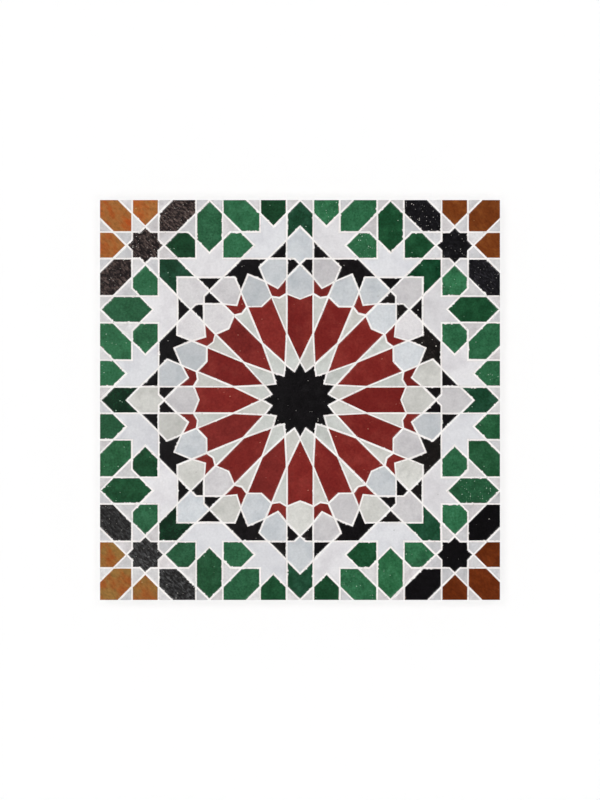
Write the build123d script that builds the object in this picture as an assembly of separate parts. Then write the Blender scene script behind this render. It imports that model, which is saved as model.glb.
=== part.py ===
from build123d import *
import math
import os

# Moroccan mosaic panel (zellige): hand cut glazed clay pieces set face up in one pour of
# white mortar. Millimetres. The origin is the middle of the back, +Z points out of the glaze.

# The whole pattern hangs on one module, half a side of the squares that make a corner star.
module = 13.27

# How the pieces are cut and set
joint_width = 1.7
tessera_thickness = 11.0
chisel_undercut = 1.2
bed_thickness = 9.0
joint_recess = 0.5

# Sizes of the big rosette that the star grid leaves free
star_tip_radius = 38.6
star_notch_depth = 9.4
hexagon_side = 16.2
hexagon_point = 5.2
crown_belly = 2.8
crown_notch = 8.8

# Sixteen rays leave the middle, one every ray step
ray_step = 22.5
half_step = ray_step / 2
face_height = bed_thickness + tessera_thickness


# Points and mirrors

def grid(line):
    """How far out a line of the star grid is: whole modules and module diagonals."""
    whole, diagonal = line
    return module * (whole + diagonal * math.sqrt(2))


def at(column, row):
    """A crossing of two lines of the star grid."""
    return (grid(column), grid(row))


def by_ray(angle, along, aside=0):
    """A point so far out along the ray at that angle, and so far to the left of it."""
    cosine = math.cos(math.radians(angle))
    sine = math.sin(math.radians(angle))
    return (along * cosine - aside * sine, along * sine + aside * cosine)


def turned(corners, angle):
    """The corners turned about the middle of the panel."""
    return [by_ray(angle, x, y) for x, y in corners]


def mirrored(corners, angle=0):
    """The corners mirrored in the ray at that angle, in the opposite order."""
    level = turned(corners, -angle)
    return turned([(x, -y) for x, y in reversed(level)], angle)


def moved(corners, shift):
    """The corners moved by a shift."""
    return [(x + shift[0], y + shift[1]) for x, y in corners]


def doubled(half, angle=0):
    """A closed outline from its half, whose two ends lie on the ray at that angle."""
    return half + mirrored(half[1:-1], angle)


def mirrored_in_column(corners):
    """The corners mirrored in the middle line of the upright hexagon."""
    return [(2 * grid(hexagon_column) - x, y) for x, y in reversed(corners)]


def chord_crossing(corner, angle):
    """How far out the chord from a corner to its mirror image crosses the ray."""
    along, aside = by_ray(-angle, *corner)
    return along


# Lines of the star grid that several outlines use
hexagon_column = (4, 2)
star_column = (6, 4)
edge_line = (8, 5)
panel_half = grid(edge_line)

# Corners that neighbours in the rosette share, by the first ray and the half ray beside it
star_tip = by_ray(0, star_tip_radius)
star_notch = by_ray(half_step, star_tip_radius - star_notch_depth)
petal_shoulder = by_ray(half_step, module / math.sin(math.radians(half_step)))
hexagon_tip = at((6, 3), (0, 0))
hexagon_outer = at((5, 3), (1, 0))
hexagon_inner = (hexagon_outer[0] - hexagon_side, module)
hexagon_foot = (hexagon_inner[0] - hexagon_point, 0)
crown_back = by_ray(half_step, chord_crossing(hexagon_inner, half_step) - crown_belly)
crown_fork = by_ray(half_step, chord_crossing(hexagon_outer, half_step) - crown_notch)
rim_near = at((5, 4), (1, 0))
rim_far = at((5, 4), (1, 1))

# Corners by the second ray. The crow's foot bends where the side of the inner hexagon,
# drawn on, meets the diagonal of the grid that passes through the far corner of the rim.
second_tip = by_ray(ray_step, hexagon_tip[0])
second_outer = by_ray(ray_step, hexagon_outer[0], -module)
diagonal_gap = sum(rim_far) - sum(by_ray(ray_step, 0, -module))
crow_bend = by_ray(ray_step, diagonal_gap / sum(by_ray(ray_step, 1)), -module)


# Outlines in the rosette, each in its first place

def centre_star():
    point = [star_tip, star_notch]
    return [corner for ray in range(16) for corner in turned(point, ray * ray_step)]


def inner_kite():
    return doubled([star_notch, star_tip, petal_shoulder], half_step)


def petal():
    return doubled([star_tip, petal_shoulder, hexagon_inner, hexagon_foot])


def outer_kite():
    return doubled([petal_shoulder, hexagon_inner, crown_back], half_step)


def crown():
    return doubled([crown_back, hexagon_inner, hexagon_outer, crown_fork], half_step)


def inner_hexagon():
    return doubled([hexagon_foot, hexagon_inner, hexagon_outer, hexagon_tip])


def outer_hexagon():
    return [rim_near, rim_far, crow_bend, second_outer, crown_fork, hexagon_outer]


def crow_foot():
    far_tip = at((5, 4), (3, 1))
    return doubled([far_tip, rim_far, crow_bend, second_outer, second_tip], ray_step)


def wedge():
    return [hexagon_tip, at((5, 4), (-1, 1)), rim_near, hexagon_outer]


def rim_point():
    start = [hexagon_tip, at((5, 4), (-1, 1)), rim_near]
    return doubled(start + [at((5, 5), (1, 0)), at((6, 5), (0, 0))])


def rim_triangle():
    return [rim_near, at((5, 5), (1, 0)), rim_far]


def chevron():
    outer = [at(edge_line, (0, 0)), at((7, 5), (1, 0))]
    return doubled(outer + [at((5, 5), (1, 0)), at((6, 5), (0, 0))])


# Outlines in the field between the rosette and the edge, each in its first place

def field_arrow():
    left = [at((4, 2), (4, 5)), at((3, 2), (5, 5)), at((3, 2), (5, 4)), at((3, 1), (5, 4))]
    foot = [at((3, 2), (5, 3)), at((5, 2), (5, 3))]
    right = [at((5, 3), (5, 4)), at((5, 2), (5, 4)), at((5, 2), (5, 5))]
    return left + foot + right


def field_fork():
    left = [at((2, 0), (6, 5)), at((1, 0), (7, 5)), at((1, 0), (5, 5)), at((1, 1), (5, 4))]
    right = [at((3, 1), (5, 4)), at((2, 1), (6, 4)), at((3, 1), (7, 4)), at((3, 0), (7, 4))]
    return left + right + [at((3, 0), (7, 5))]


def field_pentagon():
    outer = [at((2, 1), (6, 4)), at((3, 1), (7, 4)), at((1, 3), (7, 4))]
    return outer + [at((3, 2), (5, 5)), at((3, 2), (5, 4)), at((3, 1), (5, 4))]


def upright_hexagon():
    left = [at((4, 2), (4, 5)), at((3, 2), (5, 5)), at((3, 2), (7, 5)), at((4, 2), edge_line)]
    return left + [at((5, 2), (7, 5)), at((5, 2), (5, 5))]


def field_dart():
    return [at((3, 2), (7, 5)), at((3, 1), (7, 4)), at((1, 3), (7, 4)), at((3, 2), (5, 5))]


def slanted_hexagon():
    inner = [at((3, 0), (7, 5)), at((3, 0), (7, 4)), at((3, 1), (7, 4)), at((3, 2), (7, 5))]
    return inner + [at((3, 2), edge_line), at((4, 0), edge_line)]


def edge_pentagon():
    inner = [at((2, 0), (6, 5)), at((1, 0), (7, 5)), at((1, 0), edge_line)]
    return inner + [at((3, 0), edge_line), at((3, 0), (7, 5))]


def edge_triangle(column, corner):
    """A filling between two pieces that reach the edge, its square corner on that column."""
    return [at(column, (7, 5)), at(corner, edge_line), at(column, edge_line)]


# Outlines by a corner star, each in its first place

def corner_star():
    point = [at((0, 1), (0, 0)), by_ray(ray_step, module / math.cos(math.radians(ray_step)))]
    star = [corner for tip in range(8) for corner in turned(point, tip * 2 * ray_step)]
    return moved(star, at(star_column, star_column))


def star_kite():
    return [at((1, 0), (-1, 1)), (module, module), at((1, 1), (1, 0)), at((0, 1), (0, 0))]


def amber_side():
    inner = [at((6, 4), (6, 5)), at((5, 4), (7, 5)), at((5, 4), edge_line)]
    return inner + [at((7, 4), edge_line), at((7, 4), (7, 5))]


def amber_corner():
    inner = [at((7, 4), (7, 4)), at((7, 5), (7, 4)), at(edge_line, (8, 4))]
    return inner + [at(edge_line, edge_line), at((8, 4), edge_line), at((7, 4), (7, 5))]


# Repeats

def round_rays(corners, count):
    """The outline repeated round the middle of the panel."""
    return [turned(corners, 360 / count * place) for place in range(count)]


def both_hands(corners, count):
    """The outline and its mirror image, each repeated round the middle of the panel."""
    return round_rays(corners, count) + round_rays(mirrored(corners), count)


def with_column_twin(corners):
    """The outline and its mirror image across the upright hexagon, on all four sides."""
    return both_hands(corners, 4) + both_hands(mirrored_in_column(corners), 4)


def edge_triangles():
    """Every small filling along the four sides."""
    lines = [((1, 0), (0, 0)), ((3, 0), (4, 0)), ((3, 2), (4, 2))]
    lines += [((5, 2), (4, 2)), ((5, 4), (4, 4)), ((7, 4), (8, 4))]
    return [copy for column, corner in lines for copy in both_hands(edge_triangle(column, corner), 4)]


def star_kites():
    """Every kite round every corner star."""
    centre = at(star_column, star_column)
    kites = [moved(kite, centre) for kite in both_hands(star_kite(), 4)]
    return [copy for kite in kites for copy in round_rays(kite, 4)]


# Solids

def on_side_of_panel(start, end):
    """Whether an edge of an outline lies along a side of the panel."""
    return any(math.isclose(a, b) and math.isclose(abs(a), panel_half) for a, b in zip(start, end))


def counter_clockwise(corners):
    """The corners, reversed where they run clockwise."""
    following = corners[1:] + corners[:1]
    area = sum(a[0] * b[1] - a[1] * b[0] for a, b in zip(corners, following))
    return corners if area > 0 else corners[::-1]


def drawn_in(corners, distance):
    """The outline with each edge moved inwards, but for those on a side of the panel."""
    lines = []
    for start, end in zip(corners, corners[1:] + corners[:1]):
        length = math.dist(start, end)
        normal = ((start[1] - end[1]) / length, (end[0] - start[0]) / length)
        shift = 0 if on_side_of_panel(start, end) else distance
        lines.append((normal, normal[0] * start[0] + normal[1] * start[1] + shift))
    result = []
    for (a, reach_a), (b, reach_b) in zip(lines[-1:] + lines[:-1], lines):
        spread = a[0] * b[1] - a[1] * b[0]
        x = (reach_a * b[1] - reach_b * a[1]) / spread
        y = (a[0] * reach_b - b[0] * reach_a) / spread
        result.append((x, y))
    return result


def tessera(corners):
    """One cut piece: full size at the glaze, chiselled narrower towards its back."""
    outline = counter_clockwise(corners)
    back = [(x, y, bed_thickness) for x, y in drawn_in(outline, joint_width / 2 + chisel_undercut)]
    glaze = [(x, y, face_height) for x, y in drawn_in(outline, joint_width / 2)]
    rings = [back, glaze]
    for here, there in zip(range(len(outline)), list(range(1, len(outline))) + [0]):
        rings.append([back[here], back[there], glaze[there], glaze[here]])
    return Solid(Shell([Face(Wire.make_polygon(ring)) for ring in rings]))


def tesserae():
    """Every kind of piece by name, with the solids of that kind."""
    outlines = {
        "centre_star": [centre_star()],
        "inner_kites": round_rays(inner_kite(), 16),
        "petals": round_rays(petal(), 16),
        "outer_kites": round_rays(outer_kite(), 16),
        "crowns": round_rays(crown(), 16),
        "inner_hexagons": round_rays(inner_hexagon(), 16),
        "outer_hexagons": both_hands(outer_hexagon(), 8),
        "crow_feet": round_rays(crow_foot(), 8),
        "wedges": both_hands(wedge(), 8),
        "rim_points": round_rays(rim_point(), 8),
        "rim_triangles": both_hands(rim_triangle(), 8),
        "chevrons": round_rays(chevron(), 8),
        "field_arrows": both_hands(field_arrow(), 4),
        "field_forks": both_hands(field_fork(), 4),
        "field_pentagons": with_column_twin(field_pentagon()),
        "field_darts": with_column_twin(field_dart()),
        "upright_hexagons": both_hands(upright_hexagon(), 4),
        "green_slanted_hexagons": both_hands(slanted_hexagon(), 4),
        "black_slanted_hexagons": both_hands(mirrored_in_column(slanted_hexagon()), 4),
        "edge_pentagons": both_hands(edge_pentagon(), 4),
        "edge_triangles": edge_triangles(),
        "corner_stars": round_rays(corner_star(), 4),
        "star_kites": star_kites(),
        "amber_sides": both_hands(amber_side(), 4),
        "amber_corners": round_rays(amber_corner(), 4),
    }
    return {name: [tessera(corners) for corners in copies] for name, copies in outlines.items()}


def mortar_bed(pieces):
    """The pour that backs the pieces and fills their joints, cast flat on its back."""
    side = 2 * panel_half
    height = face_height - joint_recess
    pour = Solid.make_box(side, side, height, Plane((-panel_half, -panel_half, 0)))
    return pour.cut(*pieces)


def save(name, solids):
    """Writes the solids of one node to its own file."""
    export_step(Compound(children=solids), os.path.join("parts", name + ".step"))


def main():
    os.makedirs("parts", exist_ok=True)
    kinds = tesserae()
    for name, solids in kinds.items():
        save(name, solids)
    save("mortar_bed", [mortar_bed([solid for solids in kinds.values() for solid in solids])])


main()
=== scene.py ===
"""Looks of a hand-cut mosaic panel: glazed clay pieces set in one pour of white mortar.

The panel lies face up on a pale floor and the camera looks straight down on it. Every cut
piece is worked from the mesh of its CAD solid: its edge is nibbled as a chisel leaves it, its
glazed face is a little tilted and off its place, and it has a firing of its own.
"""

import logging
import math
import random
from dataclasses import dataclass, field
from enum import Enum

import bmesh
import bpy
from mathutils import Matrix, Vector, noise


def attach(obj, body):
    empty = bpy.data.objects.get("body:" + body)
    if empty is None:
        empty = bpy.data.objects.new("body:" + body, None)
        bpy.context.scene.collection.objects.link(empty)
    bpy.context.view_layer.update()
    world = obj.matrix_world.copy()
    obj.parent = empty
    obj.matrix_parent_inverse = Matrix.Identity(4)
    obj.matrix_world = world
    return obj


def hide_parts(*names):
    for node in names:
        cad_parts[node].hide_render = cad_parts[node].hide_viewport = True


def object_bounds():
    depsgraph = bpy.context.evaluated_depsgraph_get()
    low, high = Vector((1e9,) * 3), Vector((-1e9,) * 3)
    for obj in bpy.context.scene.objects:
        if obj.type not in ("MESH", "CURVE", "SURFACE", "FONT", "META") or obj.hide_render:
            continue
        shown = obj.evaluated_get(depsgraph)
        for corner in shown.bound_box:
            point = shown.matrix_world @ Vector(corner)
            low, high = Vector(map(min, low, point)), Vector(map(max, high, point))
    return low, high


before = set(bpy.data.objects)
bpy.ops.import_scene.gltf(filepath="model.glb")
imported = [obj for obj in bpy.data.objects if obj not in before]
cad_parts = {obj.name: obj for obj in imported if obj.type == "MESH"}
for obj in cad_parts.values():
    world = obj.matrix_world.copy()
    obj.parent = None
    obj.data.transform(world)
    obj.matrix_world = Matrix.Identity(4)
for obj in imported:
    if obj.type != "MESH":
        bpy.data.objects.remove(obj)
cad_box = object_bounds()
log = logging.getLogger("mosaic_panel")

MM = 0.001

# Distances in metres: what merges, what counts as on the panel's side or at a corner, and
# one that is longer than any piece
MERGE_DISTANCE = 0.002 * MM
ON_SIDE = 0.01 * MM
AT_CORNER = 0.02 * MM
FAR_OFF = 1.0

# Where two lines cross: what counts as parallel, and the share past its end that one may run
PARALLEL = 1e-9
BEYOND_ENDS = 0.001

# Faces that lie flat together, and the least Z of a normal that points up
FLAT_ANGLE = math.radians(0.5)
FACES_UP = 0.99

ROOT_BODY = "root"


# Small helpers

def linear(hex_code: str, strength: float = 1.0) -> tuple[float, float, float, float]:
    """Turns an sRGB colour into the linear light that shaders work in.

    Args:
        hex_code: The colour as #RRGGBB.
        strength: What each channel is multiplied by afterwards.

    Returns:
        Red, green, blue and an alpha of 1.
    """
    channels = [int(hex_code[start:start + 2], 16) / 255 for start in (1, 3, 5)]
    light = [c / 12.92 if c <= 0.04045 else ((c + 0.055) / 1.055) ** 2.4 for c in channels]
    return (light[0] * strength, light[1] * strength, light[2] * strength, 1.0)


def cells(size_mm: float) -> float:
    """Gives the texture scale at which one cell is that many millimetres across."""
    return 1 / (size_mm * MM)


def add_node(
    tree: bpy.types.NodeTree,
    kind: str,
    inputs: dict[str | int, object] | None = None,
    **settings: object,
) -> bpy.types.Node:
    """Adds one node with its settings and links.

    Args:
        tree: The node tree that gets it.
        kind: The node's type name.
        inputs: By socket, an output to link or a value to set.
        settings: The node's own properties.

    Returns:
        The new node.
    """
    node = tree.nodes.new(kind)
    for name, value in settings.items():
        setattr(node, name, value)
    for socket, value in (inputs or {}).items():
        if isinstance(value, bpy.types.NodeSocket):
            tree.links.new(value, node.inputs[socket])
        else:
            node.inputs[socket].default_value = value
    return node


def new_material(name: str) -> tuple[bpy.types.Material, bpy.types.NodeTree]:
    """Makes an empty node material.

    Args:
        name: What the finish is.

    Returns:
        The material and its node tree.
    """
    material = bpy.data.materials.new(name)
    material.use_nodes = True
    material.node_tree.nodes.clear()
    return material, material.node_tree


# Finishes

# Nearly all values of a noise texture lie between these
NOISE_LOW = 0.3
NOISE_HIGH = 0.7


class Corner(Enum):
    """The quarters of the panel, by the signs of X and Y."""

    FAR_LEFT = (-1, 1)
    FAR_RIGHT = (1, 1)
    NEAR_LEFT = (-1, -1)
    NEAR_RIGHT = (1, -1)

    @staticmethod
    def of(place: Vector) -> "Corner":
        """Names the quarter that a place lies in."""
        return Corner((1 if place.x >= 0 else -1, 1 if place.y >= 0 else -1))


@dataclass(frozen=True)
class Firing:
    """How the kiln left one piece: its tone, what it clouds towards, and its specks. In the two left
    corners of the panel its tone and cloud also carry painted sheen.
    """

    tone: str
    cloud: str
    clouding: float
    specks: float


@dataclass(frozen=True)
class HandCut:
    """How far a chiselled edge strays inwards from its drawn line, and how much its chips vary."""

    wander_mm: float
    nibble_mm: float
    chips_per_metre: float
    chip_depth_mm: float
    chip_width_mm: float
    wander_length_mm: float = 6.0
    fewer_or_more: tuple[float, float] = (0.4, 1.6)
    narrower_or_wider: tuple[float, float] = (0.5, 1.3)
    shallower: tuple[float, float] = (0.3, 1.0)
    ragged: tuple[float, float] = (0.6, 1.0)


@dataclass(frozen=True)
class Glaze:
    """A coloured lead glaze, fired on a clay blank: a thin, wavy, glassy skin.

    Specks and pores of a real glaze are finer. They are drawn coarse enough to show. The pale specks on the
    darker glazes are also painted glints of light.
    """

    name: str
    slot: str
    firings: tuple[Firing, ...]
    cut: HandCut
    # Tones by corner of the panel; the paler, greyer left ones are painted sheen of light from the left
    tone_and_sheen_by_corner: tuple[tuple[Corner, Firing], ...] = ()
    tone_spread: float = 0.10
    roughness: float = 0.11
    gloss_spread: tuple[float, float] = (0.8, 1.5)
    patterns_apart: float = 50.0
    cloud_mm: float = 7.0
    cloud_middle: float = 0.54
    cloud_edge: float = 0.11
    brushed: float = 1.0
    brushed_deg: float = -45.0
    mottle_mm: float = 2.2
    mottle: float = 0.12
    wave_mm: float = 11.0
    wave_height_mm: float = 0.2
    pit_mm: float = 1.3
    pit_height_mm: float = 0.03
    # Colour of the specks; on the darker glazes the pale specks are also painted glints
    speck_and_glint: str = "#C9C6BE"
    speck_mm: float = 2.0
    speck_size: tuple[float, float] = (0.1, 0.27)
    speck_filling: tuple[float, float] = (0.3, 0.95)

    def firing(self, place: Vector, chance: random.Random) -> Firing:
        """Picks the firing of one piece.

        Args:
            place: Where the piece is.
            chance: The piece's own random numbers.

        Returns:
            The firing of its corner, where the glaze has one, or one of the usual ones. The firings of the
            left corners are paler with painted sheen.
        """
        # The tones of the left corners carry painted sheen
        corners = dict(self.tone_and_sheen_by_corner)
        usual = chance.choice(self.firings)
        return corners.get(Corner.of(place), usual)

    def material(self) -> bpy.types.Material:
        """Makes the glaze: its piece's own tone, clouded, specked, wavy and glassy.

        Returns:
            The material.
        """
        material, tree = new_material(self.name)
        place = add_node(tree, "ShaderNodeTexCoord").outputs["Object"]
        tone = add_node(tree, "ShaderNodeAttribute", attribute_name="tone").outputs["Color"]
        cloud = add_node(tree, "ShaderNodeAttribute", attribute_name="cloud").outputs["Color"]
        marks = add_node(tree, "ShaderNodeAttribute", attribute_name="marks").outputs["Color"]
        split = add_node(tree, "ShaderNodeSeparateColor", {"Color": marks})
        clouding, specks, own = split.outputs["Red"], split.outputs["Green"], split.outputs["Blue"]
        own_pattern = add_node(
            tree, "ShaderNodeMath", {0: own, 1: self.patterns_apart}, operation="MULTIPLY",
        ).outputs[0]

        # A brush draws the clouds out along its stroke
        drawn = place
        if self.brushed > 1:
            drawn = add_node(
                tree, "ShaderNodeMapping",
                {"Vector": place, "Rotation": (0, 0, math.radians(self.brushed_deg)),
                 "Scale": (self.brushed, 1, 1)},
                vector_type="TEXTURE",
            ).outputs["Vector"]

        # The eye sees soft clouds, a few millimetres wide, that stop at the joint
        clouds = add_node(
            tree, "ShaderNodeTexNoise",
            {"Vector": drawn, "W": own_pattern, "Scale": cells(self.cloud_mm),
             "Detail": 3.0, "Roughness": 0.55},
            noise_dimensions="4D",
        ).outputs["Fac"]
        cloud_share = add_node(
            tree, "ShaderNodeMapRange",
            {"Value": clouds, "From Min": self.cloud_middle - self.cloud_edge,
             "From Max": self.cloud_middle + self.cloud_edge},
        ).outputs["Result"]
        cloud_mix = add_node(
            tree, "ShaderNodeMath", {0: cloud_share, 1: clouding}, operation="MULTIPLY",
        ).outputs[0]
        clouded = add_node(
            tree, "ShaderNodeMix", {0: cloud_mix, 6: tone, 7: cloud}, data_type="RGBA",
        ).outputs[2]

        # and a fine mottle, where the glaze lies thicker or thinner over the blank's sand
        mottle = add_node(
            tree, "ShaderNodeTexNoise",
            {"Vector": drawn, "W": own_pattern, "Scale": cells(self.mottle_mm),
             "Detail": 4.0, "Roughness": 0.7},
            noise_dimensions="4D",
        ).outputs["Fac"]
        mottle_value = add_node(
            tree, "ShaderNodeMapRange",
            {"Value": mottle, "From Min": NOISE_LOW, "From Max": NOISE_HIGH,
             "To Min": 1 - self.mottle, "To Max": 1 + self.mottle},
        ).outputs["Result"]
        mottled = add_node(
            tree, "ShaderNodeVectorMath", {0: clouded, "Scale": mottle_value}, operation="SCALE",
        ).outputs["Vector"]

        # Pin-head specks, where a bubble burst and mortar filled it; the pale specks on the darker glazes
        # also stand in as painted glints of light
        dots = add_node(
            tree, "ShaderNodeTexVoronoi", {"Vector": place, "Scale": cells(self.speck_mm)},
        )
        dot_random = add_node(tree, "ShaderNodeSeparateColor", {"Color": dots.outputs["Color"]})
        dot_size = add_node(
            tree, "ShaderNodeMapRange",
            {"Value": dot_random.outputs["Green"], "To Min": self.speck_size[0],
             "To Max": self.speck_size[1]},
        ).outputs["Result"]
        inside = add_node(
            tree, "ShaderNodeMath", {0: dots.outputs["Distance"], 1: dot_size}, operation="LESS_THAN",
        ).outputs[0]
        chosen = add_node(
            tree, "ShaderNodeMath", {0: dot_random.outputs["Red"], 1: specks}, operation="LESS_THAN",
        ).outputs[0]
        dot = add_node(tree, "ShaderNodeMath", {0: inside, 1: chosen}, operation="MULTIPLY").outputs[0]
        filling = add_node(
            tree, "ShaderNodeMapRange",
            {"Value": dot_random.outputs["Blue"], "To Min": self.speck_filling[0],
             "To Max": self.speck_filling[1]},
        ).outputs["Result"]
        speck_and_glint = add_node(tree, "ShaderNodeMath", {0: dot, 1: filling}, operation="MULTIPLY").outputs[0]
        colour = add_node(
            tree, "ShaderNodeMix", {0: speck_and_glint, 6: mottled, 7: linear(self.speck_and_glint)}, data_type="RGBA",
        ).outputs[2]

        # Slow waves bend the reflections, and the skin has the pores of orange peel
        waves = add_node(
            tree, "ShaderNodeTexNoise",
            {"Vector": place, "W": own_pattern, "Scale": cells(self.wave_mm), "Detail": 1.0},
            noise_dimensions="4D",
        ).outputs["Fac"]
        wave_bump = add_node(
            tree, "ShaderNodeBump",
            {"Height": waves, "Strength": 1.0, "Distance": self.wave_height_mm * MM},
        ).outputs["Normal"]
        peel = add_node(
            tree, "ShaderNodeTexNoise", {"Vector": place, "Scale": cells(self.pit_mm), "Detail": 1.0},
        ).outputs["Fac"]
        pores = add_node(
            tree, "ShaderNodeBump",
            {"Height": peel, "Strength": 1.0, "Distance": self.pit_height_mm * MM, "Normal": wave_bump},
        ).outputs["Normal"]
        gloss = add_node(
            tree, "ShaderNodeMapRange",
            {"Value": clouds, "From Min": NOISE_LOW, "From Max": NOISE_HIGH,
             "To Min": self.roughness * self.gloss_spread[0],
             "To Max": self.roughness * self.gloss_spread[1]},
        ).outputs["Result"]
        glass = add_node(
            tree, "ShaderNodeBsdfPrincipled",
            {"Base Color": colour, "Roughness": gloss, "IOR": 1.5, "Normal": pores},
        )
        add_node(tree, "ShaderNodeOutputMaterial", {"Surface": glass.outputs["BSDF"]})
        return material


@dataclass(frozen=True)
class FiredClay:
    """The terracotta under the glaze, seen where a piece is cut at the side of the panel.

    Its grit is finer in a real body. It is drawn coarse enough to show.
    """

    name: str = "fired_terracotta"
    clay: str = "#B07552"
    burnt: str = "#8C5638"
    grit: str = "#D8B795"
    grit_mm: float = 0.8
    grit_height_mm: float = 0.15
    grit_from: float = 0.58
    grit_full: float = 0.7
    grit_share: float = 0.6
    patch_mm: float = 9.0
    roughness: float = 0.85

    def material(self) -> bpy.types.Material:
        """Makes the clay: a matt, gritty, open body, patchy from the kiln.

        Returns:
            The material.
        """
        material, tree = new_material(self.name)
        place = add_node(tree, "ShaderNodeTexCoord").outputs["Object"]

        # The eye sees orange and brown patches with pale grains, and no shine at all
        patches = add_node(
            tree, "ShaderNodeTexNoise", {"Vector": place, "Scale": cells(self.patch_mm), "Detail": 4.0},
        ).outputs["Fac"]
        grit = add_node(
            tree, "ShaderNodeTexNoise", {"Vector": place, "Scale": cells(self.grit_mm), "Detail": 3.0},
        ).outputs["Fac"]
        body = add_node(
            tree, "ShaderNodeMix",
            {0: patches, 6: linear(self.clay), 7: linear(self.burnt)}, data_type="RGBA",
        ).outputs[2]
        grains = add_node(
            tree, "ShaderNodeMapRange",
            {"Value": grit, "From Min": self.grit_from, "From Max": self.grit_full,
             "To Max": self.grit_share},
        ).outputs["Result"]
        colour = add_node(
            tree, "ShaderNodeMix", {0: grains, 6: body, 7: linear(self.grit)}, data_type="RGBA",
        ).outputs[2]
        rough = add_node(
            tree, "ShaderNodeBump",
            {"Height": grit, "Strength": 1.0, "Distance": self.grit_height_mm * MM},
        ).outputs["Normal"]
        clay = add_node(
            tree, "ShaderNodeBsdfPrincipled",
            {"Base Color": colour, "Roughness": self.roughness, "IOR": 1.5, "Normal": rough},
        )
        add_node(tree, "ShaderNodeOutputMaterial", {"Surface": clay.outputs["BSDF"]})
        return material


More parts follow.
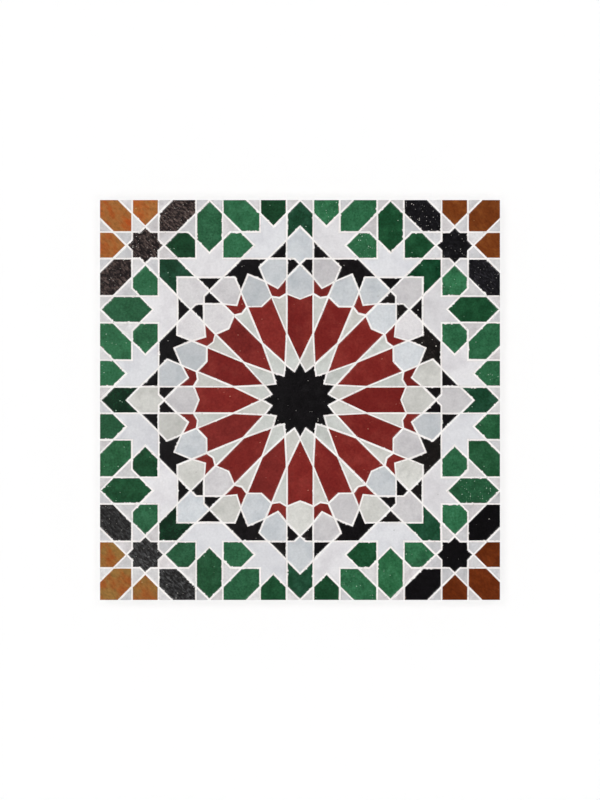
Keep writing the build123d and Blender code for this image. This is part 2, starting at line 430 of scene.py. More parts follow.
@dataclass(frozen=True)
class WhiteMortar:
    """White cement and marble dust: chalky and matt, sponged in the joints, rough on its back.

    The dust is finer than this grain, which is drawn coarse enough to show.
    """

    name: str = "white_cement_mortar"
    cement: str = "#F3F0EE"
    damp: str = "#E6E2E0"
    # Grey of painted shade, in the air voids and along the screed lines of the back
    painted_hollow_shade: str = "#A9A39D"
    patch_mm: float = 14.0
    damp_from: float = 0.45
    damp_full: float = 0.75
    grain_mm: float = 0.7
    grain_height_mm: float = 0.12
    void_mm: float = 4.0
    void_middle: float = 0.22
    void_rim: float = 0.24
    void_shade: float = 0.45
    void_depth_mm: float = 0.3
    faces_down: float = -0.9
    screed_mm: float = 5.0
    screed_height_mm: float = 0.5
    screed_drawn: float = 0.06
    screed_deg: float = 4.0
    screed_from: float = 0.5
    screed_full: float = 0.75
    screed_shade: float = 0.55
    roughness: float = 0.9

    def material(self) -> bpy.types.Material:
        """Makes the mortar: near white, softly patchy, fine grained, with small air voids darkened by
        painted shade.

        Its back has the wavering lines of the board that levelled it, darkened along them with painted
        shade.

        Returns:
            The material.
        """
        material, tree = new_material(self.name)
        place = add_node(tree, "ShaderNodeTexCoord").outputs["Object"]

        # The eye sees a white that is hardly broken, a shade darker where it stayed damp
        patches = add_node(
            tree, "ShaderNodeTexNoise", {"Vector": place, "Scale": cells(self.patch_mm), "Detail": 5.0},
        ).outputs["Fac"]
        damp = add_node(
            tree, "ShaderNodeMapRange",
            {"Value": patches, "From Min": self.damp_from, "From Max": self.damp_full},
        ).outputs["Result"]
        cement = add_node(
            tree, "ShaderNodeMix",
            {0: damp, 6: linear(self.cement), 7: linear(self.damp)}, data_type="RGBA",
        ).outputs[2]
        grain = add_node(
            tree, "ShaderNodeTexNoise", {"Vector": place, "Scale": cells(self.grain_mm), "Detail": 3.0},
        ).outputs["Fac"]

        # Only faces that look down have been screeded; the screed lines are ridges in the bump and are
        # darkened with painted shade
        normal = add_node(tree, "ShaderNodeNewGeometry").outputs["Normal"]
        facing = add_node(tree, "ShaderNodeSeparateXYZ", {"Vector": normal}).outputs["Z"]
        back = add_node(
            tree, "ShaderNodeMath", {0: facing, 1: self.faces_down}, operation="LESS_THAN",
        ).outputs[0]
        stretched = add_node(
            tree, "ShaderNodeMapping",
            {"Vector": place, "Scale": (self.screed_drawn, 1.0, 1.0),
             "Rotation": (0, 0, math.radians(self.screed_deg))},
        ).outputs["Vector"]
        lines = add_node(
            tree, "ShaderNodeTexNoise",
            {"Vector": stretched, "Scale": cells(self.screed_mm),
             "Detail": 4.0, "Roughness": 0.6, "Distortion": 0.3},
        ).outputs["Fac"]
        screed = add_node(tree, "ShaderNodeMath", {0: lines, 1: back}, operation="MULTIPLY").outputs[0]
        painted_ridge_shade = add_node(
            tree, "ShaderNodeMapRange",
            {"Value": screed, "From Min": self.screed_from, "From Max": self.screed_full,
             "To Max": self.screed_shade},
        ).outputs["Result"]
        ridge_shaded_cement = add_node(
            tree, "ShaderNodeMix", {0: painted_ridge_shade, 6: cement, 7: linear(self.painted_hollow_shade)}, data_type="RGBA",
        ).outputs[2]

        # Air voids are small dimples of several sizes, their insides darkened with painted shade
        voids = add_node(tree, "ShaderNodeTexVoronoi", {"Vector": place, "Scale": cells(self.void_mm)})
        void_random = add_node(tree, "ShaderNodeSeparateColor", {"Color": voids.outputs["Color"]})
        void_size = add_node(
            tree, "ShaderNodeMath", {0: void_random.outputs["Red"], 1: self.void_middle},
            operation="MULTIPLY",
        ).outputs[0]
        void = add_node(
            tree, "ShaderNodeMapRange",
            {"Value": voids.outputs["Distance"], "From Min": void_size, "From Max": self.void_rim},
        ).outputs["Result"]
        shade = add_node(tree, "ShaderNodeMath", {0: 1.0, 1: void}, operation="SUBTRACT").outputs[0]
        shaded = add_node(
            tree, "ShaderNodeMath", {0: shade, 1: self.void_shade}, operation="MULTIPLY",
        ).outputs[0]
        colour = add_node(
            tree, "ShaderNodeMix", {0: shaded, 6: ridge_shaded_cement, 7: linear(self.painted_hollow_shade)}, data_type="RGBA",
        ).outputs[2]
        ridged = add_node(
            tree, "ShaderNodeBump",
            {"Height": screed, "Strength": 1.0, "Distance": self.screed_height_mm * MM},
        ).outputs["Normal"]
        grainy = add_node(
            tree, "ShaderNodeBump",
            {"Height": grain, "Strength": 1.0, "Distance": self.grain_height_mm * MM, "Normal": ridged},
        ).outputs["Normal"]
        pitted = add_node(
            tree, "ShaderNodeBump",
            {"Height": void, "Strength": 0.6, "Distance": self.void_depth_mm * MM, "Normal": grainy},
        ).outputs["Normal"]
        mortar = add_node(
            tree, "ShaderNodeBsdfPrincipled",
            {"Base Color": colour, "Roughness": self.roughness, "IOR": 1.5, "Normal": pitted},
        )
        add_node(tree, "ShaderNodeOutputMaterial", {"Surface": mortar.outputs["BSDF"]})
        return material


CLEAN_CUT = HandCut(
    wander_mm=0.02, nibble_mm=0.03, chips_per_metre=10.0, chip_depth_mm=0.7, chip_width_mm=1.1,
)
BRITTLE_CUT = HandCut(
    wander_mm=0.0, nibble_mm=0.18, chips_per_metre=70.0, chip_depth_mm=1.3, chip_width_mm=1.0,
)

# Corner firings: the tones differ from corner to corner, and the paler, greyer tones and clouds of the two
# left corners are painted sheen, a veil of light from the left
BLACK_CORNER_TONES_AND_SHEEN = (
    (Corner.FAR_LEFT, Firing("#221A1A", "#5E4F4A", 1.0, 0.3)),
    (Corner.FAR_RIGHT, Firing("#0F0E11", "#232226", 0.6, 0.6)),
    (Corner.NEAR_LEFT, Firing("#212020", "#454546", 0.9, 0.1)),
    (Corner.NEAR_RIGHT, Firing("#09070A", "#161317", 0.5, 0.03)),
)
AMBER_CORNER_TONES_AND_SHEEN = (
    (Corner.FAR_LEFT, Firing("#9A6230", "#A8440F", 0.85, 0.02)),
    (Corner.FAR_RIGHT, Firing("#6B3412", "#7D431B", 0.8, 0.02)),
    (Corner.NEAR_LEFT, Firing("#936B35", "#9C400C", 0.85, 0.03)),
    (Corner.NEAR_RIGHT, Firing("#60270A", "#753512", 0.8, 0.01)),
)
BLACK_FIRINGS = (
    Firing("#0E0B0D", "#1A1719", 0.5, 0.03),
    Firing("#161312", "#262120", 0.5, 0.07),
    Firing("#0B090B", "#151315", 0.4, 0.03),
)


class GlazeTub(Enum):
    """The glazes of the panel, by what they are coloured with."""

    MANGANESE_BLACK = Glaze(
        "manganese_black_glaze", "black_glaze", BLACK_FIRINGS, mottle=1.0, cut=BRITTLE_CUT,
    )
    CORNER_BLACK = Glaze(
        "kiln_mottled_black_glaze", "black_glaze", BLACK_FIRINGS, tone_and_sheen_by_corner=BLACK_CORNER_TONES_AND_SHEEN,
        cut=BRITTLE_CUT, tone_spread=0.5, cloud_mm=2.0, cloud_edge=0.08, brushed=2.2,
        mottle_mm=1.6, mottle=0.95, wave_height_mm=0.3, pit_height_mm=0.1, speck_mm=1.8,
    )
    IRON_RED = Glaze(
        "iron_red_glaze", "red_glaze",
        (
            Firing("#75221E", "#842F29", 0.9, 0.02),
            Firing("#7D2925", "#661C18", 0.9, 0.05),
            Firing("#701F1C", "#812D27", 0.9, 0.02),
        ),
        cut=CLEAN_CUT, tone_spread=0.08, cloud_mm=15.0, mottle=0.28, speck_and_glint="#C98F78",
    )
    TIN_WHITE = Glaze(
        "tin_white_glaze", "white_glaze",
        (
            Firing("#C8CBCE", "#B5BABF", 0.9, 0.004),
            Firing("#D2CFD0", "#C0BCBF", 0.9, 0.004),
            Firing("#CDCCC7", "#BAB9B4", 0.9, 0.004),
        ),
        cut=CLEAN_CUT, tone_spread=0.13, cloud_mm=13.0, mottle=0.1, speck_and_glint="#9A9895",
    )
    FIELD_WHITE = Glaze(
        "tin_white_field_glaze", "white_glaze",
        (
            Firing("#D9D9DC", "#C9C9CE", 0.9, 0.004),
            Firing("#DDDBDD", "#CDCACD", 0.9, 0.004),
        ),
        cut=CLEAN_CUT, tone_spread=0.08, cloud_mm=18.0, mottle=0.07, speck_and_glint="#9A9895",
    )
    CELADON_GREY = Glaze(
        "celadon_grey_glaze", "grey_glaze",
        (
            Firing("#C8CAC6", "#B6B8B3", 0.9, 0.004),
            Firing("#CAC9C4", "#B9B7B1", 0.9, 0.004),
        ),
        cut=CLEAN_CUT, tone_spread=0.06, cloud_mm=12.0, mottle=0.1,
    )
    PINKISH_GREY = Glaze(
        "pinkish_grey_glaze", "grey_glaze",
        (
            Firing("#D1CDCE", "#BDB8B9", 0.9, 0.006),
            Firing("#CBCACC", "#B8B7BA", 0.9, 0.006),
            Firing("#D5D3D3", "#C4C2C3", 0.9, 0.006),
        ),
        cut=CLEAN_CUT, tone_spread=0.12, cloud_mm=9.0, mottle=0.12,
    )
    COPPER_GREEN = Glaze(
        "copper_green_glaze", "green_glaze",
        (
            Firing("#275B3C", "#336B4A", 0.9, 0.02),
            Firing("#2D6342", "#1D492F", 0.9, 0.2),
            Firing("#205132", "#2E6342", 0.9, 0.08),
            Firing("#123C23", "#1E4F31", 0.9, 0.03),
        ),
        cut=BRITTLE_CUT, tone_spread=0.3, cloud_mm=11.0, mottle=0.42, speck_and_glint="#A9C4B0",
    )
    BOTTLE_GREEN = Glaze(
        "bottle_green_glaze", "dark_green_glaze",
        (
            Firing("#062C18", "#133F27", 0.9, 0.02),
            Firing("#123824", "#234C38", 0.9, 0.03),
        ),
        cut=BRITTLE_CUT, tone_spread=0.4, cloud_mm=11.0, mottle=0.45, speck_and_glint="#A9C4B0",
    )
    HONEY_AMBER = Glaze(
        "honey_amber_glaze", "amber_glaze", (Firing("#8A5A30", "#A8632C", 0.8, 0.05),),
        tone_and_sheen_by_corner=AMBER_CORNER_TONES_AND_SHEEN, cut=CLEAN_CUT, cloud_mm=9.0, cloud_edge=0.09, brushed=1.7,
        mottle=0.32, pit_height_mm=0.06, speck_and_glint="#D9B27C",
    )


# Cut pieces

@dataclass
class RimPoint:
    """One vertex of the rim of a glazed face, and how the rim may move there."""

    vertex: bmesh.types.BMVert
    inward: Vector
    room: float
    along: float
    held: bool


@dataclass
class CutPieces:
    """All pieces of one kind: their CAD solids, recut, laid and glazed as by hand.

    A share is a part of the room that a rim point has before it meets the other side.
    """

    node: str
    glaze: Glaze
    rim_step_mm: float = 0.75
    deepest_chip_mm: float = 0.9
    room_share: float = 0.45
    chip_share: float = 0.33
    arris_mm: float = 0.14
    arris_share: float = 0.17
    slope_mm: float = 0.8
    slope_share: float = 0.5
    arris_drop_mm: float = 0.1
    slope_drop_mm: float = 0.05
    glaze_depth_mm: float = 0.7
    lean_mm: float = 0.12
    lean_spread: tuple[float, float] = (0.2, 1.0)
    sink_mm: float = 0.1
    sink_spread: tuple[float, float] = (0.1, 1.0)
    off_place_mm: float = 0.28
    off_square_deg: float = 0.3
    clouding_spread: tuple[float, float] = (0.6, 1.0)
    fewest_specks: float = 0.4
    more_specks: float = 1.6

    def build(self, skin: bpy.types.Material, clay: bpy.types.Material) -> bpy.types.Object:
        """Builds the pieces of this kind as one object in the frame.

        Args:
            skin: The material of the glaze.
            clay: The material of the body.

        Returns:
            The object that stands for the CAD node.
        """
        bm = self._opened()
        self._glaze_cut_sides(bm)
        tops = [face for face in bm.faces if face.normal.z > FACES_UP]
        tops.sort(key=lambda face: tuple(round(c / MM) for c in face.calc_center_median()))
        for number, top in enumerate(tops):
            rim = self._recut(bm, top, random.Random(f"{self.node} {number}"))
            self._fire(bm, rim, random.Random(f"{self.node} {number} in the kiln"))
        bm.normal_update()
        mesh = bpy.data.meshes.new(self.node + "_glazed")
        bm.to_mesh(mesh)
        bm.free()
        mesh.materials.append(skin)
        mesh.materials.append(clay)
        piece = bpy.data.objects.new(self.node + "_glazed", mesh)
        bpy.context.scene.collection.objects.link(piece)
        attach(piece, ROOT_BODY)
        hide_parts(self.node)
        log.info("%s: %d pieces in %s", self.node, len(tops), self.glaze.name)
        return piece

    def _opened(self) -> bmesh.types.BMesh:
        """Copies the CAD node's mesh, merged, with its flat faces whole and all of it clay.

        Returns:
            The mesh, ready to be recut.
        """
        bm = bmesh.new()
        bm.from_mesh(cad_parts[self.node].data)
        bmesh.ops.remove_doubles(bm, verts=bm.verts, dist=MERGE_DISTANCE)
        bmesh.ops.dissolve_limit(bm, angle_limit=FLAT_ANGLE, verts=bm.verts, edges=bm.edges)
        for name in ("tone", "cloud", "marks"):
            bm.verts.layers.float_color.new(name)
        for face in bm.faces:
            face.material_index = 1
            face.smooth = False
        bm.normal_update()
        return bm

    def _glaze_cut_sides(self, bm: bmesh.types.BMesh) -> None:
        """Parts off the glaze on the panel's sides, where the cut shows it as a thin line.

        Args:
            bm: The mesh that holds the pieces.
        """
        height = cad_box[1].z - self.glaze_depth_mm * MM
        sides = [face for face in bm.faces if all(on_panel_side(vert.co) for vert in face.verts)]
        parts = {part for face in sides for part in (face, *face.edges, *face.verts)}
        bmesh.ops.bisect_plane(bm, geom=list(parts), plane_co=(0, 0, height), plane_no=(0, 0, 1))
        for face in bm.faces:
            middle = face.calc_center_median()
            if middle.z > height and on_panel_side(middle):
                face.material_index = 0

    def _recut(
        self, bm: bmesh.types.BMesh, top: bmesh.types.BMFace, chance: random.Random,
    ) -> list[bmesh.types.BMVert]:
        """Gives one piece its nibbled rim, its own place and lean, and its rounded arris.

        Args:
            bm: The mesh that holds the piece.
            top: The glazed face of the piece.
            chance: The piece's own random numbers.

        Returns:
            The vertices of its rim.
        """
        outline = [vert.co.copy() for vert in top.verts]
        self._split_rim(top)
        rim = self._rim(top, outline)
        self._stray(rim, chance)
        self._lay(rim, chance)
        outer = [point.vertex for point in rim]
        top = self._step_in(bm, top, rim, self.arris_mm, self.arris_share)
        arris = list(top.verts)
        top = self._step_in(bm, top, rim, self.slope_mm, self.slope_share)
        slope = list(top.verts)
        self._bed(outer, arris, slope, chance)
        return outer

    def _split_rim(self, top: bmesh.types.BMFace) -> None:
        """Divides each chiselled edge of the glazed face into steps of about the same length.

        Args:
            top: The glazed face.
        """
        for edge in list(top.edges):
            start, end = edge.verts
            if on_panel_side(start.co) and on_panel_side(end.co):
                continue
            steps = max(1, round(edge.calc_length() / (self.rim_step_mm * MM)))
            for left in range(steps, 1, -1):
                _, start = bmesh.utils.edge_split(edge, start, 1 / left)
                edge = next(run for run in start.link_edges if run.other_vert(start) is end)

    def _rim(self, top: bmesh.types.BMFace, outline: list[Vector]) -> list[RimPoint]:
        """Finds which way is inwards at each vertex of the rim, and what room it has there.

        Args:
            top: The glazed face.
            outline: Its corners, in order.

        Returns:
            One point for each vertex, in order round the face.
        """
        verts = list(top.verts)
        points = []
        along = 0.0
        for index, vert in enumerate(verts):
            before = vert.co - verts[index - 1].co
            after = verts[(index + 1) % len(verts)].co - vert.co
            run = before.normalized() + after.normalized()
            inward = Vector((-run.y, run.x, 0)).normalized()
            along += before.length
            room = min(
                self.room_share * across(vert.co, inward, outline), beside_corners(vert.co, outline),
            )
            points.append(RimPoint(vert, inward, room, along, on_panel_side(vert.co)))
        return points

    def _stray(self, rim: list[RimPoint], chance: random.Random) -> None:
        """Moves the rim inwards where the chisel wandered, nibbled or took a chip.

        Args:
            rim: The rim of the piece.
            chance: The piece's own random numbers.
        """
        cut = self.glaze.cut
        length = rim[-1].along
        own = chance.uniform(0, 100)
        chips = [
            (chance.uniform(0, length), chance.uniform(*cut.narrower_or_wider) * cut.chip_width_mm * MM,
             chance.uniform(*cut.shallower) * cut.chip_depth_mm)
            for _ in range(round(length * cut.chips_per_metre * chance.uniform(*cut.fewer_or_more)))
        ]
        for point in rim:
            slow = noise.noise(Vector((point.along / (cut.wander_length_mm * MM), own, 0)))
            stray = cut.wander_mm * (0.4 + slow) + cut.nibble_mm * chance.uniform(-0.5, 1)
            for middle, half_width, depth in chips:
                share = (point.along - middle) / half_width
                stray += depth * max(0.0, 1 - share * share) * chance.uniform(*cut.ragged)
            stray = min(max(stray, 0), self.deepest_chip_mm) * MM
            if not point.held:
                point.vertex.co += point.inward * min(stray, self.chip_share * point.room)

    def _lay(self, rim: list[RimPoint], chance: random.Random) -> None:
        """Shifts and turns the rim a little, as the piece was laid by eye.

        Args:
            rim: The rim of the piece.
            chance: The piece's own random numbers.
        """
        centre = sum((point.vertex.co for point in rim), Vector()) / len(rim)
        towards = chance.uniform(0, math.tau)
        way = Vector((math.cos(towards), math.sin(towards), 0))
        shift = way * chance.uniform(0, self.off_place_mm) * MM
        turn = math.radians(self.off_square_deg) * chance.uniform(-1, 1)
        for point in rim:
            if not point.held:
                arm = point.vertex.co - centre
                point.vertex.co += shift + Vector((-arm.y, arm.x, 0)) * turn

    def _step_in(
        self, bm: bmesh.types.BMesh, top: bmesh.types.BMFace, rim: list[RimPoint],
        width_mm: float, share: float,
    ) -> bmesh.types.BMFace:
        """Adds a ring inside the rim, so that the glaze can round over towards its edge.

        Args:
            bm: The mesh that holds the piece.
            top: The glazed face, which the ring is taken from.
            rim: The rim, whose points move on to the new ring.
            width_mm: How wide the ring is.
            share: The largest share of the room at a point that it may take.

        Returns:
            The glazed face inside the new ring.
        """
        by_vertex = {point.vertex: point for point in rim}
        top = bmesh.ops.extrude_discrete_faces(bm, faces=[top])["faces"][0]
        top.material_index = 0
        top.smooth = False
        for vert in top.verts:
            outer = next(
                other for other in (edge.other_vert(vert) for edge in vert.link_edges) if other in by_vertex
            )
            point = by_vertex[outer]
            vert.co = outer.co + point.inward * min(width_mm * MM, share * point.room)
            point.vertex = vert
        for face in {face for edge in top.edges for face in edge.link_faces} - {top}:
            face.material_index = 0
            face.smooth = True
        return top

    def _bed(
        self, outer: list[bmesh.types.BMVert], arris: list[bmesh.types.BMVert],
        slope: list[bmesh.types.BMVert], chance: random.Random,
    ) -> None:
        """Beds the glazed face as a hand pressed it: a little low, a little out of level.

        Args:
            outer: The rim.
            arris: The ring where the rounding of the arris begins.
            slope: The ring that bounds the flat of the face.
            chance: The piece's own random numbers.
        """
        centre = sum((vert.co for vert in slope), Vector()) / len(slope)
        radius = max((vert.co - centre).length for vert in outer)
        towards = chance.uniform(0, math.tau)
        way = Vector((math.cos(towards), math.sin(towards), 0))
        lean = way * self.lean_mm * MM * chance.uniform(*self.lean_spread)
        level = cad_box[1].z - lean.length - chance.uniform(*self.sink_spread) * self.sink_mm * MM
        edge_drop = self.arris_drop_mm + self.slope_drop_mm
        for ring, drop in ((outer, edge_drop), (arris, self.slope_drop_mm), (slope, 0.0)):
            for vert in ring:
                vert.co.z = level + lean.dot(vert.co - centre) / radius - drop * MM

    def _fire(self, bm: bmesh.types.BMesh, ring: list[bmesh.types.BMVert], chance: random.Random) -> None:
        """Writes the piece's tone, cloud colour and marks on all of its vertices.

        Args:
            bm: The mesh that holds the piece.
            ring: Some of its vertices.
            chance: The piece's own random numbers.
        """
        centre = sum((vert.co for vert in ring), Vector()) / len(ring)
        firing = self.glaze.firing(centre, chance)
        strength = 1 + self.glaze.tone_spread * chance.uniform(-1, 1)
        clouding = firing.clouding * chance.uniform(*self.clouding_spread)
        specks = firing.specks * (self.fewest_specks + self.more_specks * chance.random() ** 2)
        marks = (clouding, specks, chance.random(), 1.0)
        whole = set(ring)
        waiting = list(ring)
        while waiting:
            for edge in waiting.pop().link_edges:
                for vert in edge.verts:
                    if vert not in whole:
                        whole.add(vert)
                        waiting.append(vert)
        layers = bm.verts.layers.float_color
        for vert in whole:
            vert[layers["tone"]] = linear(firing.tone, strength)
            vert[layers["cloud"]] = linear(firing.cloud, strength)
            vert[layers["marks"]] = marks


def on_panel_side(place: Vector) -> bool:
    """Tells whether a place is on one of the four sides of the panel."""
    reach = cad_box[1].x
    return max(abs(place.x), abs(place.y)) > reach - ON_SIDE


def across(place: Vector, inward: Vector, outline: list[Vector]) -> float:
    """Measures from the rim across the piece to the far side of its outline.

    Args:
        place: A point of the rim.
        inward: The way across.
        outline: The corners of the piece, in order.

    Returns:
        The distance in metres.
    """
    nearest = FAR_OFF
    for index, corner in enumerate(outline):
        run = outline[index - 1] - corner
        spread = inward.x * run.y - inward.y * run.x
        if abs(spread) < PARALLEL:
            continue
        gap = corner - place
        distance = (gap.x * run.y - gap.y * run.x) / spread
        share = (gap.x * inward.y - gap.y * inward.x) / spread
        if distance > AT_CORNER and -BEYOND_ENDS < share < 1 + BEYOND_ENDS:
            nearest = min(nearest, distance)
    return nearest


def beside_corners(
    place: Vector, outline: list[Vector], at_corner_mm: float = 0.7, slack: float = 0.9,
) -> float:
    """Measures how far a rim point may move in before it meets its neighbours round a corner.

    Args:
        place: A point of the rim.
        outline: The corners of the piece, in order.
        at_corner_mm: How far a point at the very corner may move in.
        slack: The share of the way to the meeting that a point beside a corner may go.

    Returns:
        The distance in metres, large where no corner is near.
    """
    room = FAR_OFF
    for index, corner in enumerate(outline):
        away = (place - corner).length
        back = (outline[index - 1] - corner).normalized()
        onward = (outline[(index + 1) % len(outline)] - corner).normalized()
        opens = onward.x * back.y - onward.y * back.x > 0
        if away < AT_CORNER:
            room = min(room, at_corner_mm * MM)
        elif opens:
            half_angle = onward.angle(back) / 2
            room = min(room, slack * away * math.tan(half_angle))
    return room


# Sub-assemblies

@dataclass
class LaidPieces:
    """A part of the pattern that is laid together."""

    kinds: dict[str, GlazeTub]

    def lay(self, glazes: dict[GlazeTub, bpy.types.Material], clay: bpy.types.Material) -> None:
        """Builds every kind of piece of this part.

        Args:
            glazes: The material of each glaze.
            clay: The material of the body.
        """
        for node, tub in self.kinds.items():
            CutPieces(node, tub.value).build(glazes[tub], clay)


@dataclass
class Rosette(LaidPieces):
    """The star of sixteen points with its petals, crowns and two rings of hexagons."""

    kinds: dict[str, GlazeTub] = field(default_factory=lambda: {
        "centre_star": GlazeTub.MANGANESE_BLACK,
        "inner_kites": GlazeTub.CELADON_GREY,
        "petals": GlazeTub.IRON_RED,
        "outer_kites": GlazeTub.CELADON_GREY,
        "crowns": GlazeTub.IRON_RED,
        "inner_hexagons": GlazeTub.TIN_WHITE,
        "outer_hexagons": GlazeTub.TIN_WHITE,
    })


@dataclass
class RosetteRim(LaidPieces):
    """The dark pieces and arrow heads that close the rosette."""

    kinds: dict[str, GlazeTub] = field(default_factory=lambda: {
        "crow_feet": GlazeTub.MANGANESE_BLACK,
        "wedges": GlazeTub.MANGANESE_BLACK,
        "rim_points": GlazeTub.TIN_WHITE,
        "rim_triangles": GlazeTub.MANGANESE_BLACK,
        "chevrons": GlazeTub.BOTTLE_GREEN,
    })


@dataclass
class StarField(LaidPieces):
    """The half stars of green pieces with the large white branches between them."""

    kinds: dict[str, GlazeTub] = field(default_factory=lambda: {
        "field_arrows": GlazeTub.FIELD_WHITE,
        "field_forks": GlazeTub.FIELD_WHITE,
        "field_pentagons": GlazeTub.COPPER_GREEN,
        "field_darts": GlazeTub.PINKISH_GREY,
        "upright_hexagons": GlazeTub.COPPER_GREEN,
        "green_slanted_hexagons": GlazeTub.COPPER_GREEN,
        "edge_pentagons": GlazeTub.COPPER_GREEN,
        "edge_triangles": GlazeTub.PINKISH_GREY,
    })


@dataclass
class CornerStars(LaidPieces):
    """The star in each corner with its kites, amber pieces and black hexagons."""

    kinds: dict[str, GlazeTub] = field(default_factory=lambda: {
        "corner_stars": GlazeTub.CORNER_BLACK,
        "black_slanted_hexagons": GlazeTub.CORNER_BLACK,
        "star_kites": GlazeTub.PINKISH_GREY,
        "amber_sides": GlazeTub.HONEY_AMBER,
        "amber_corners": GlazeTub.HONEY_AMBER,
    })


@dataclass
class MortarBed:
    """The white pour that holds the pieces, with its joints closed up to each nibbled edge."""

    node: str = "mortar_bed"
    slot: str = "mortar"
    level_mm: float = 0.1
    under_edge_mm: float = 1.35
    sharpest_turn: float = 0.25
    foot_edge_mm: float = 0.8
    finish: WhiteMortar = field(default_factory=WhiteMortar)

    def build(self) -> bpy.types.Object:
        """Builds the bed from the CAD node's own mesh.

        Returns:
            The object that stands for the CAD node.
        """
        bm = bmesh.new()
        bm.from_mesh(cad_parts[self.node].data)
        bmesh.ops.remove_doubles(bm, verts=bm.verts, dist=MERGE_DISTANCE)
        bmesh.ops.dissolve_limit(bm, angle_limit=FLAT_ANGLE, verts=bm.verts, edges=bm.edges)
        bm.normal_update()
        self._close_up(bm)
        foot = [
            edge for edge in bm.edges
            if all(vert.co.z < MERGE_DISTANCE and on_panel_side(vert.co) for vert in edge.verts)
        ]
        bmesh.ops.bevel(
            bm, geom=foot, offset=self.foot_edge_mm * MM, segments=2, profile=0.5,
            affect="EDGES", material=-1,
        )
        mesh = bpy.data.meshes.new("poured_mortar")
        bm.to_mesh(mesh)
        bm.free()
        mesh.materials.append(self.finish.material())
        bed = bpy.data.objects.new("poured_mortar", mesh)
        bpy.context.scene.collection.objects.link(bed)
        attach(bed, ROOT_BODY)
        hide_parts(self.node)
        log.info("%s: %d faces of %s", self.node, len(mesh.polygons), self.finish.name)
        return bed

    def _close_up(self, bm: bmesh.types.BMesh) -> None:
        """Spreads the joints under the edges of the pieces, to fill where these are chipped.

        Args:
            bm: The bed.
        """
        height = max(vert.co.z for vert in bm.verts) - self.level_mm * MM
        ways: dict[bmesh.types.BMVert, list[Vector]] = {}
        for face in bm.faces:
            if face.normal.z < FACES_UP or face.calc_center_median().z < height:
                continue
            for loop in face.loops:
                middle = (loop.vert.co + loop.link_loop_next.vert.co) / 2
                beyond = [other for other in loop.edge.link_faces if other is not face]
                if on_panel_side(middle) or any(other.normal.z > FACES_UP for other in beyond):
                    continue
                run = (loop.link_loop_next.vert.co - loop.vert.co).normalized()
                for vert in loop.edge.verts:
                    ways.setdefault(vert, []).append(Vector((run.y, -run.x, 0)))
        for vert, sides in ways.items():
            if not on_panel_side(vert.co):
                first, last = sides[0], sides[-1]
                spread = (first + last) / max(1 + first.dot(last), self.sharpest_turn)
                vert.co += spread * self.under_edge_mm * MM


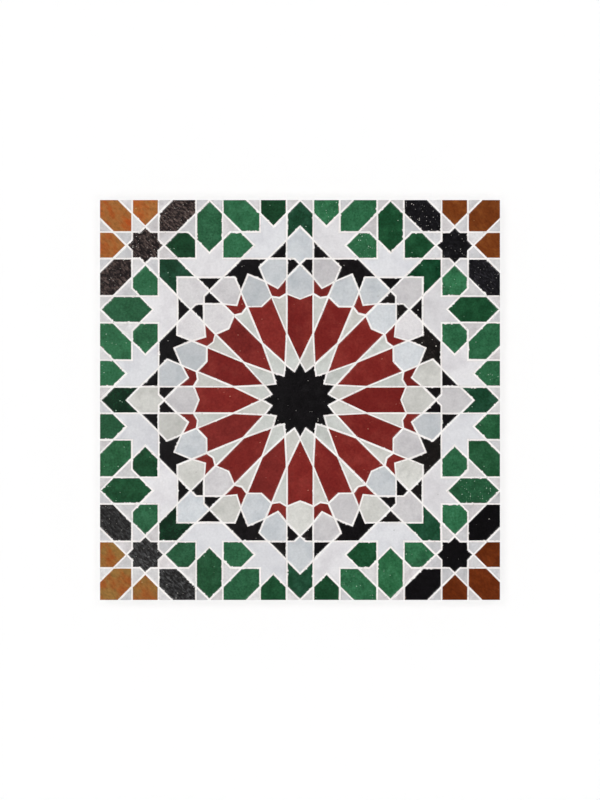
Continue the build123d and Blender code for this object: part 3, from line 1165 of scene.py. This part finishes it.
@dataclass
class Studio:
    """The pale floor, the plain soft light and the camera above the panel."""

    floor_reach: float = 12.0
    wall_height: float = 5.0
    fold_radius: float = 4.0
    fold_segments: int = 12
    lens_mm: float = 85.0
    sensor_mm: float = 36.0
    image_width: int = 600
    image_height: int = 800
    panel_pixels: float = 400.0
    sky_high: float = 0.06
    sky_low: float = 0.56
    sky_from: float = 0.2
    window: float = 0.22
    window_from: float = 0.06
    window_to: float = -0.2
    suns: tuple[tuple[float, float], ...] = (
        (135.0, 0.8), (45.0, 0.52), (-45.0, 0.52), (-135.0, 0.52),
    )
    sun_height: float = 60.0
    sun_size: float = 18.0
    floor_white: str = "#FAFAFA"
    floor_lift: float = 0.7

    def set_up(self) -> None:
        """Makes the floor, the lamps, the sky and the camera."""
        self._floor()
        self._sky()
        self._lamps()
        self._camera()

    def _floor(self) -> None:
        """Makes the floor round the panel's own foot and turns it up into a low pale wall.

        It is left open under the panel, so that the back of the pour can be looked at too.
        """
        bm = bmesh.new()
        foot = bmesh.ops.create_grid(bm, x_segments=1, y_segments=1, size=cad_box[1].x)["verts"]
        under = list(bm.faces)
        spread = bmesh.ops.extrude_edge_only(bm, edges=bm.edges)["geom"]
        rim = [part for part in spread if isinstance(part, bmesh.types.BMVert)]
        growth = self.floor_reach / foot[0].co.to_2d().length
        bmesh.ops.scale(bm, vec=Vector((growth, growth, growth)), verts=rim)
        edges = [part for part in spread if isinstance(part, bmesh.types.BMEdge)]
        raised = bmesh.ops.extrude_edge_only(bm, edges=edges)["geom"]
        lip = [part for part in raised if isinstance(part, bmesh.types.BMVert)]
        bmesh.ops.translate(bm, vec=(0, 0, self.wall_height), verts=lip)
        bmesh.ops.delete(bm, geom=under, context="FACES_ONLY")
        fold = [edge for edge in bm.edges if all(vert in rim for vert in edge.verts)]
        bmesh.ops.bevel(
            bm, geom=fold, offset=self.fold_radius, segments=self.fold_segments, profile=0.5,
            affect="EDGES", material=-1,
        )
        for face in bm.faces:
            face.smooth = True
        mesh = bpy.data.meshes.new("floor")
        bm.to_mesh(mesh)
        bm.free()
        floor = bpy.data.objects.new("floor", mesh)
        bpy.context.scene.collection.objects.link(floor)
        material, tree = new_material("white_studio_floor")
        ray = add_node(tree, "ShaderNodeLightPath")
        seen = add_node(
            tree, "ShaderNodeMath", {0: ray.outputs["Is Camera Ray"], 1: ray.outputs["Is Glossy Ray"]},
            operation="MAXIMUM",
        ).outputs[0]
        seen = add_node(
            tree, "ShaderNodeMath", {0: seen, 1: ray.outputs["Is Transmission Ray"]}, operation="MAXIMUM",
        ).outputs[0]
        lift = add_node(
            tree, "ShaderNodeMath", {0: seen, 1: self.floor_lift}, operation="MULTIPLY",
        ).outputs[0]
        paint = add_node(tree, "ShaderNodeBsdfDiffuse", {"Color": linear(self.floor_white)})
        glow = add_node(tree, "ShaderNodeEmission", {"Color": (1, 1, 1, 1), "Strength": 1.0})
        both = add_node(
            tree, "ShaderNodeMixShader", {0: lift, 1: paint.outputs["BSDF"], 2: glow.outputs["Emission"]},
        )
        add_node(tree, "ShaderNodeOutputMaterial", {"Surface": both.outputs["Shader"]})
        mesh.materials.append(material)

    def _sky(self) -> None:
        """Makes a soft sky, dim overhead so that dark glaze stays deep, and pale lower down.

        A wide pale window to the left veils the left of the panel, as in the photograph.
        """
        world = bpy.data.worlds.new("soft_studio_sky")
        bpy.context.scene.world = world
        world.use_nodes = True
        tree = world.node_tree
        tree.nodes.clear()
        way = add_node(tree, "ShaderNodeTexCoord").outputs["Generated"]
        parts = add_node(tree, "ShaderNodeSeparateXYZ", {"Vector": way})
        overhead = add_node(
            tree, "ShaderNodeMapRange",
            {"Value": parts.outputs["Z"], "From Min": self.sky_from, "From Max": 1.0,
             "To Min": self.sky_low, "To Max": self.sky_high},
        ).outputs["Result"]
        window = add_node(
            tree, "ShaderNodeMapRange",
            {"Value": parts.outputs["X"], "From Min": self.window_from, "From Max": self.window_to,
             "To Max": self.window},
            interpolation_type="SMOOTHSTEP",
        ).outputs["Result"]
        strength = add_node(tree, "ShaderNodeMath", {0: overhead, 1: window}, operation="ADD").outputs[0]
        sky = add_node(tree, "ShaderNodeBackground", {"Color": (1, 1, 1, 1), "Strength": strength})
        add_node(tree, "ShaderNodeOutputWorld", {"Surface": sky.outputs["Background"]})

    def _lamps(self) -> None:
        """Hangs four wide soft lamps on the diagonals, the first one a little stronger."""
        for number, (azimuth, share) in enumerate(self.suns):
            lamp = bpy.data.lights.new(f"soft_lamp_{number}", "SUN")
            lamp.energy = share
            lamp.angle = math.radians(self.sun_size)
            holder = bpy.data.objects.new(lamp.name, lamp)
            bpy.context.scene.collection.objects.link(holder)
            holder.rotation_euler = (0, math.radians(90 - self.sun_height), math.radians(azimuth))

    def _camera(self) -> None:
        """Puts the camera straight above the panel, far enough to frame it as the photograph does."""
        data = bpy.data.cameras.new("camera")
        data.lens = self.lens_mm
        data.sensor_width = self.sensor_mm
        data.sensor_fit = "AUTO"
        pixel = (cad_box[1].x - cad_box[0].x) / self.panel_pixels
        distance = self.lens_mm / self.sensor_mm * max(self.image_width, self.image_height) * pixel
        camera = bpy.data.objects.new("camera", data)
        camera.location = (0, 0, cad_box[1].z + distance)
        bpy.context.scene.collection.objects.link(camera)
        bpy.context.scene.camera = camera


def main() -> None:
    """Lays the whole panel."""
    logging.basicConfig(level=logging.INFO, format="%(name)s: %(message)s")
    bpy.context.scene.view_settings.view_transform = "Standard"
    glazes = {tub: tub.value.material() for tub in GlazeTub}
    clay = FiredClay().material()
    MortarBed().build()
    for part in (Rosette(), RosetteRim(), StarField(), CornerStars()):
        part.lay(glazes, clay)
    Studio().set_up()


if __name__ == "__main__":
    main()
